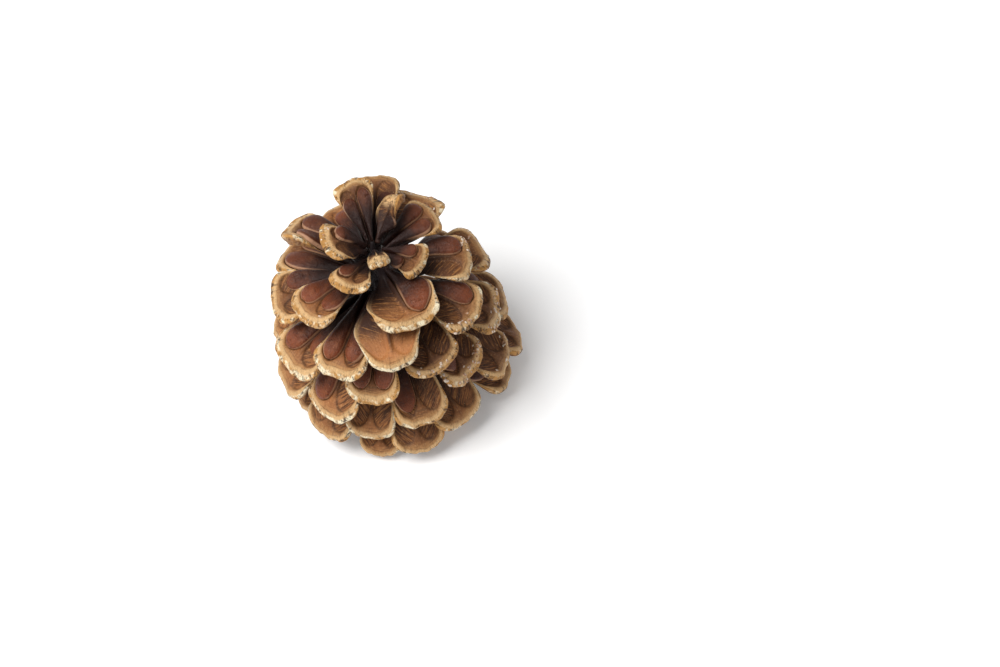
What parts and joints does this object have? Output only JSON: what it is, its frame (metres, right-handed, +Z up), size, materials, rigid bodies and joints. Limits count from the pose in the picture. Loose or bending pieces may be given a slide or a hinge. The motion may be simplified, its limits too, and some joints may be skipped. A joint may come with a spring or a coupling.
{
  "type": "pine cone",
  "caption": "Open, dry pine cone: a woody axis with its spread, spoon-shaped scales set in a spiral; a free-standing natural ornament.",
  "frame": {"origin": "centre of the flat end of the stalk stub, on the surface the cone stands on", "axes": "+Z up along the cone's axis, from the stalk to the tip; the widest view of the cone is the same from every side, and -Y faces the viewer of the front view"},
  "size_m": [0.0677, 0.061, 0.0674],
  "materials": {
    "axis_bark": "matte dark fibrous bark of the axis and stalk stub, nearly black between the scales",
    "scale_wood": "dry satin brown wood, darker and redder towards the root, with a pale weathered rim round the tip"
  },
  "bodies": {
    "root": {"cone_axis": "axis_bark", "scale_01": "scale_wood", "scale_02": "scale_wood", "scale_03": "scale_wood", "scale_04": "scale_wood", "scale_05": "scale_wood", "scale_06": "scale_wood", "scale_07": "scale_wood", "scale_08": "scale_wood", "scale_09": "scale_wood", "scale_10": "scale_wood", "scale_11": "scale_wood", "scale_12": "scale_wood", "scale_13": "scale_wood", "scale_14": "scale_wood", "scale_15": "scale_wood", "scale_16": "scale_wood", "scale_17": "scale_wood", "scale_18": "scale_wood", "scale_19": "scale_wood", "scale_20": "scale_wood", "scale_21": "scale_wood", "scale_22": "scale_wood", "scale_23": "scale_wood", "scale_24": "scale_wood", "scale_25": "scale_wood", "scale_26": "scale_wood", "scale_27": "scale_wood", "scale_28": "scale_wood", "scale_29": "scale_wood", "scale_30": "scale_wood", "scale_31": "scale_wood", "scale_32": "scale_wood", "scale_33": "scale_wood", "scale_34": "scale_wood", "scale_35": "scale_wood", "scale_36": "scale_wood", "scale_37": "scale_wood", "scale_38": "scale_wood", "scale_39": "scale_wood", "scale_40": "scale_wood", "scale_41": "scale_wood", "scale_42": "scale_wood", "scale_43": "scale_wood", "scale_44": "scale_wood", "scale_45": "scale_wood", "scale_46": "scale_wood", "scale_47": "scale_wood", "scale_48": "scale_wood", "scale_49": "scale_wood", "scale_50": "scale_wood", "scale_51": "scale_wood", "scale_52": "scale_wood", "scale_53": "scale_wood", "scale_54": "scale_wood", "scale_55": "scale_wood", "scale_56": "scale_wood", "scale_57": "scale_wood", "scale_58": "scale_wood", "scale_59": "scale_wood"}
  },
  "joints": []
}
